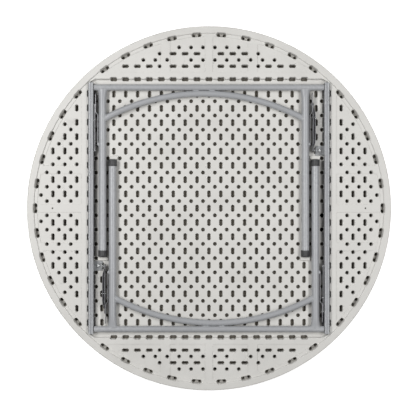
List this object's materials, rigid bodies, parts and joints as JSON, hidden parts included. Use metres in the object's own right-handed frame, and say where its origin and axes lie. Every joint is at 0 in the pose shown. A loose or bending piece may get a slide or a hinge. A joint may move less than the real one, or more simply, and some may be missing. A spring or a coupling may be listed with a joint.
{
  "type": "folding table",
  "caption": "Round folding banquet table lying face down: hollow moulded top with a dimpled underside and two tubular leg frames folded flat on jointed braces.",
  "frame": {"origin": "centre of the table face, which lies on the floor with the underside up, as the table is laid to open its legs", "axes": "+Z out of the underside, away from the table face, +Y towards the rear leg frame's hinge, +X to the right rail; in use the table is turned over, so that +Z points down"},
  "size_m": [1.5238, 1.5238, 0.0605],
  "materials": {
    "moulded_top": "fine pebbled high-density polyethylene, off-white",
    "painted_steel": "light grey powder coat",
    "foot_plastic": "moulded, dark grey",
    "bush_plastic": "moulded, black",
    "bright_zinc": "bright zinc plate",
    "zinc_steel": "dull zinc plate on strip steel",
    "bracket_steel": "grey powder coat"
  },
  "bodies": {
    "top_assembly": {"table_top": "moulded_top", "rail_left": "painted_steel", "rail_right": "painted_steel", "rail_screws": "painted_steel", "bracket_screws": "bright_zinc", "hinge_bushes": "bush_plastic", "rear_left_rail_rivet": "bright_zinc", "rear_right_rail_rivet": "bright_zinc", "rear_right_bracket": "bracket_steel", "front_left_rail_rivet": "bright_zinc", "front_left_bracket": "bracket_steel", "front_right_rail_rivet": "bright_zinc"},
    "rear_leg_frame": {"rear_hinge_tube": "painted_steel", "rear_arch_tube": "painted_steel", "rear_left_leg": "painted_steel", "rear_left_foot": "foot_plastic", "rear_left_leg_tab": "painted_steel", "rear_right_leg": "painted_steel", "rear_right_foot": "foot_plastic", "rear_right_leg_tab": "painted_steel"},
    "front_leg_frame": {"front_hinge_tube": "painted_steel", "front_arch_tube": "painted_steel", "front_left_leg": "painted_steel", "front_left_foot": "foot_plastic", "front_left_leg_tab": "painted_steel", "front_right_leg": "painted_steel", "front_right_foot": "foot_plastic", "front_right_leg_tab": "painted_steel"},
    "rear_left_upper_brace": {"rear_left_upper_link": "zinc_steel", "rear_left_middle_rivet": "bright_zinc"},
    "rear_left_lower_brace": {"rear_left_lower_link": "zinc_steel", "rear_left_leg_rivet": "bright_zinc"},
    "rear_left_ring": {"rear_left_lock_ring": "bright_zinc"},
    "rear_right_upper_brace": {"rear_right_upper_link": "zinc_steel", "rear_right_middle_rivet": "bright_zinc"},
    "rear_right_lower_brace": {"rear_right_lower_link": "zinc_steel", "rear_right_leg_rivet": "bright_zinc"},
    "rear_right_ring": {"rear_right_lock_ring": "bright_zinc"},
    "front_left_upper_brace": {"front_left_upper_link": "zinc_steel", "front_left_middle_rivet": "bright_zinc"},
    "front_left_lower_brace": {"front_left_lower_link": "zinc_steel", "front_left_leg_rivet": "bright_zinc"},
    "front_left_ring": {"front_left_lock_ring": "bright_zinc"},
    "front_right_upper_brace": {"front_right_upper_link": "zinc_steel", "front_right_middle_rivet": "bright_zinc"},
    "front_right_lower_brace": {"front_right_lower_link": "zinc_steel", "front_right_leg_rivet": "bright_zinc"},
    "front_right_ring": {"front_right_lock_ring": "bright_zinc"}
  },
  "joints": [
    {"name": "rear_leg_fold", "type": "hinge", "parent": "top_assembly", "child": "rear_leg_frame", "pos_m": [0, 0.50506, 0.042], "axis": [-1, 0, 0], "range_deg": [0, 90]},
    {"name": "front_leg_fold", "type": "hinge", "parent": "top_assembly", "child": "front_leg_frame", "pos_m": [0, -0.50506, 0.042], "axis": [1, 0, 0], "range_deg": [0, 90]},
    {"name": "rear_left_brace_pivot", "type": "hinge", "parent": "top_assembly", "child": "rear_left_upper_brace", "pos_m": [-0.476, 0.24206, 0.042], "axis": [1, 0, 0], "range_deg": [0, 42.14]},
    {"name": "rear_left_brace_knuckle", "type": "hinge", "parent": "rear_left_upper_brace", "child": "rear_left_lower_brace", "pos_m": [-0.476, 0.43191, 0.042], "axis": [-1, 0, 0], "range_deg": [0, 180]},
    {"name": "rear_left_ring_slide", "type": "slide", "parent": "rear_left_upper_brace", "child": "rear_left_ring", "axis": [0, -1, 0], "range_m": [-0.019, 0.096]},
    {"name": "rear_right_brace_pivot", "type": "hinge", "parent": "top_assembly", "child": "rear_right_upper_brace", "pos_m": [0.434, 0.24206, 0.042], "axis": [1, 0, 0], "range_deg": [0, 42.14]},
    {"name": "rear_right_brace_knuckle", "type": "hinge", "parent": "rear_right_upper_brace", "child": "rear_right_lower_brace", "pos_m": [0.434, 0.43191, 0.042], "axis": [-1, 0, 0], "range_deg": [0, 180]},
    {"name": "rear_right_ring_slide", "type": "slide", "parent": "rear_right_upper_brace", "child": "rear_right_ring", "axis": [0, -1, 0], "range_m": [-0.01, 0.105]},
    {"name": "front_left_brace_pivot", "type": "hinge", "parent": "top_assembly", "child": "front_left_upper_brace", "pos_m": [-0.434, -0.24206, 0.042], "axis": [-1, 0, 0], "range_deg": [0, 42.14]},
    {"name": "front_left_brace_knuckle", "type": "hinge", "parent": "front_left_upper_brace", "child": "front_left_lower_brace", "pos_m": [-0.434, -0.43191, 0.042], "axis": [1, 0, 0], "range_deg": [0, 180]},
    {"name": "front_left_ring_slide", "type": "slide", "parent": "front_left_upper_brace", "child": "front_left_ring", "axis": [0, 1, 0], "range_m": [-0.031, 0.084]},
    {"name": "front_right_brace_pivot", "type": "hinge", "parent": "top_assembly", "child": "front_right_upper_brace", "pos_m": [0.476, -0.24206, 0.042], "axis": [-1, 0, 0], "range_deg": [0, 42.14]},
    {"name": "front_right_brace_knuckle", "type": "hinge", "parent": "front_right_upper_brace", "child": "front_right_lower_brace", "pos_m": [0.476, -0.43191, 0.042], "axis": [1, 0, 0], "range_deg": [0, 180]},
    {"name": "front_right_ring_slide", "type": "slide", "parent": "front_right_upper_brace", "child": "front_right_ring", "axis": [0, 1, 0], "range_m": [-0.015, 0.1]}
  ],
  "couplings": [
    {"joint": "rear_left_brace_pivot", "follows": "rear_leg_fold", "ratio": 0.46826},
    {"joint": "rear_left_brace_knuckle", "follows": "rear_leg_fold", "ratio": 2},
    {"joint": "rear_right_brace_pivot", "follows": "rear_leg_fold", "ratio": 0.46826},
    {"joint": "rear_right_brace_knuckle", "follows": "rear_leg_fold", "ratio": 2},
    {"joint": "front_left_brace_pivot", "follows": "front_leg_fold", "ratio": 0.46826},
    {"joint": "front_left_brace_knuckle", "follows": "front_leg_fold", "ratio": 2},
    {"joint": "front_right_brace_pivot", "follows": "front_leg_fold", "ratio": 0.46826},
    {"joint": "front_right_brace_knuckle", "follows": "front_leg_fold", "ratio": 2}
  ]
}
